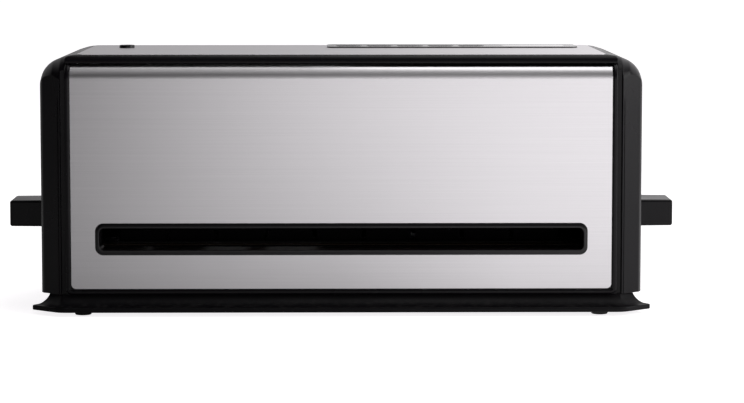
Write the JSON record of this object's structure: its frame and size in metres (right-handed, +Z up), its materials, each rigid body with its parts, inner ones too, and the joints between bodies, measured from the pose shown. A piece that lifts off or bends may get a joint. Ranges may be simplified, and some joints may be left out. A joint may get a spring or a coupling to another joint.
{
  "type": "vacuum sealer",
  "caption": "Upright countertop vacuum sealer with brushed steel front, wide front bag slot, press-down side grips that close a sealing jaw, and a touch-button panel and hose port on top.",
  "frame": {"origin": "on the surface it stands on, under the middle of the object", "axes": "+Z up, +X to the right seen from the front, -Y out of the front with the bag slot"},
  "size_m": [0.4392, 0.17, 0.1698],
  "materials": {
    "cheek_plastic": "satin moulded black, fine texture",
    "frame_plastic": "smooth satin black",
    "base_plastic": "satin moulded black",
    "brushed_panel": "horizontally brushed stainless steel",
    "bezel_plastic": "semi-gloss black",
    "panel_gloss": "high-gloss black",
    "button_plastic": "satin dark grey",
    "window_plastic": "smoked gloss",
    "lens_plastic": "clear moulded",
    "foot_rubber": "matt black rubber",
    "jaw_plastic": "satin black, heat resistant",
    "pad_silicone": "brick-red silicone",
    "gasket_foam": "black closed-cell silicone foam",
    "heating_metal": "flat nickel-chrome strip",
    "tape_fabric": "brown coated glass cloth",
    "brass_terminal": "plain brass",
    "zinc_sheet": "zinc-plated sheet",
    "rod_steel": "ground steel",
    "spring_steel": "drawn spring wire",
    "bush_plastic": "self-lubricating acetal",
    "motor_can": "plated motor can",
    "pump_plastic": "glass-filled black",
    "white_plastic": "natural moulded",
    "sensor_plastic": "blue moulded",
    "clear_hose": "milky silicone tube",
    "circuit_board": "green solder mask",
    "switch_plastic": "black moulded",
    "core_metal": "varnished steel core",
    "capacitor_sleeve": "shrunk sleeve",
    "heat_sink_metal": "extruded aluminium",
    "inlet_plastic": "moulded black",
    "pin_metal": "nickel-plated pins",
    "ribbon_sleeve": "grey sleeved cable",
    "screw_steel": "zinc-plated screws"
  },
  "bodies": {
    "housing": {"base_pan": "base_plastic", "feet": "foot_rubber", "front_frame": "frame_plastic", "front_panel": "brushed_panel", "slot_bezel": "bezel_plastic", "left_cheek": "cheek_plastic", "right_cheek": "cheek_plastic", "top_frame": "frame_plastic", "top_panel": "brushed_panel", "rear_cover": "frame_plastic", "control_panel": "panel_gloss", "display_window": "window_plastic", "hose_port": "bezel_plastic", "indicator_lenses": "lens_plastic", "control_board": "circuit_board", "tact_switches": "switch_plastic", "guide_rods": "rod_steel", "return_springs": "spring_steel", "lower_jaw": "jaw_plastic", "heater_strip": "heating_metal", "heater_tape": "tape_fabric", "lower_gasket": "gasket_foam", "heater_terminals": "brass_terminal", "bag_stop": "jaw_plastic", "left_bracket": "zinc_sheet", "right_bracket": "zinc_sheet", "pump_motor": "motor_can", "pump_case": "pump_plastic", "pump_head": "pump_plastic", "pump_bracket": "zinc_sheet", "pump_grommets": "foot_rubber", "valve_block": "white_plastic", "vacuum_sensor": "sensor_plastic", "vacuum_hose": "clear_hose", "port_tube": "clear_hose", "power_board": "circuit_board", "transformer": "core_metal", "capacitors": "capacitor_sleeve", "heat_sink": "heat_sink_metal", "power_inlet": "inlet_plastic", "inlet_pins": "pin_metal", "jaw_switch": "switch_plastic", "panel_cable": "ribbon_sleeve", "base_screws": "screw_steel", "cheek_screws": "screw_steel", "top_screws": "screw_steel"},
    "sealing_jaw": {"jaw_beam": "jaw_plastic", "left_grip": "cheek_plastic", "right_grip": "cheek_plastic", "pressure_pad": "pad_silicone", "upper_gasket": "gasket_foam", "rod_bushes": "bush_plastic"},
    "pump_drive": {"motor_shaft": "rod_steel", "eccentric": "brass_terminal"},
    "piston": {"pump_piston": "white_plastic"},
    "button_mode_cap": {"button_mode": "button_plastic"},
    "button_pulse_cap": {"button_pulse": "button_plastic"},
    "button_seal_cap": {"button_seal": "button_plastic"},
    "button_start_cap": {"button_start": "button_plastic"},
    "button_stop_cap": {"button_stop": "button_plastic"}
  },
  "joints": [
    {"name": "jaw_press", "type": "slide", "parent": "housing", "child": "sealing_jaw", "axis": [0, 0, -1], "range_m": [0, 0.0109], "stiffness_N_per_m": 500, "springref_m": -0.012, "deforming": ["return_springs"]},
    {"name": "pump_spin", "type": "hinge", "parent": "housing", "child": "pump_drive", "pos_m": [-0.11, 0.009, 0.042], "axis": [0, 1, 0], "continuous": true},
    {"name": "piston_stroke", "type": "slide", "parent": "housing", "child": "piston", "axis": [1, 0, 0], "range_m": [-0.0025, 0.0025]},
    {"name": "mode_press", "type": "slide", "parent": "housing", "child": "button_mode_cap", "axis": [0, 0, -1], "range_m": [0, 0.0008], "stiffness_N_per_m": 300, "springref_m": -0.0006},
    {"name": "pulse_press", "type": "slide", "parent": "housing", "child": "button_pulse_cap", "axis": [0, 0, -1], "range_m": [0, 0.0008], "stiffness_N_per_m": 300, "springref_m": -0.0006},
    {"name": "seal_press", "type": "slide", "parent": "housing", "child": "button_seal_cap", "axis": [0, 0, -1], "range_m": [0, 0.0008], "stiffness_N_per_m": 300, "springref_m": -0.0006},
    {"name": "start_press", "type": "slide", "parent": "housing", "child": "button_start_cap", "axis": [0, 0, -1], "range_m": [0, 0.0008], "stiffness_N_per_m": 300, "springref_m": -0.0006},
    {"name": "stop_press", "type": "slide", "parent": "housing", "child": "button_stop_cap", "axis": [0, 0, -1], "range_m": [0, 0.0008], "stiffness_N_per_m": 300, "springref_m": -0.0006}
  ]
}
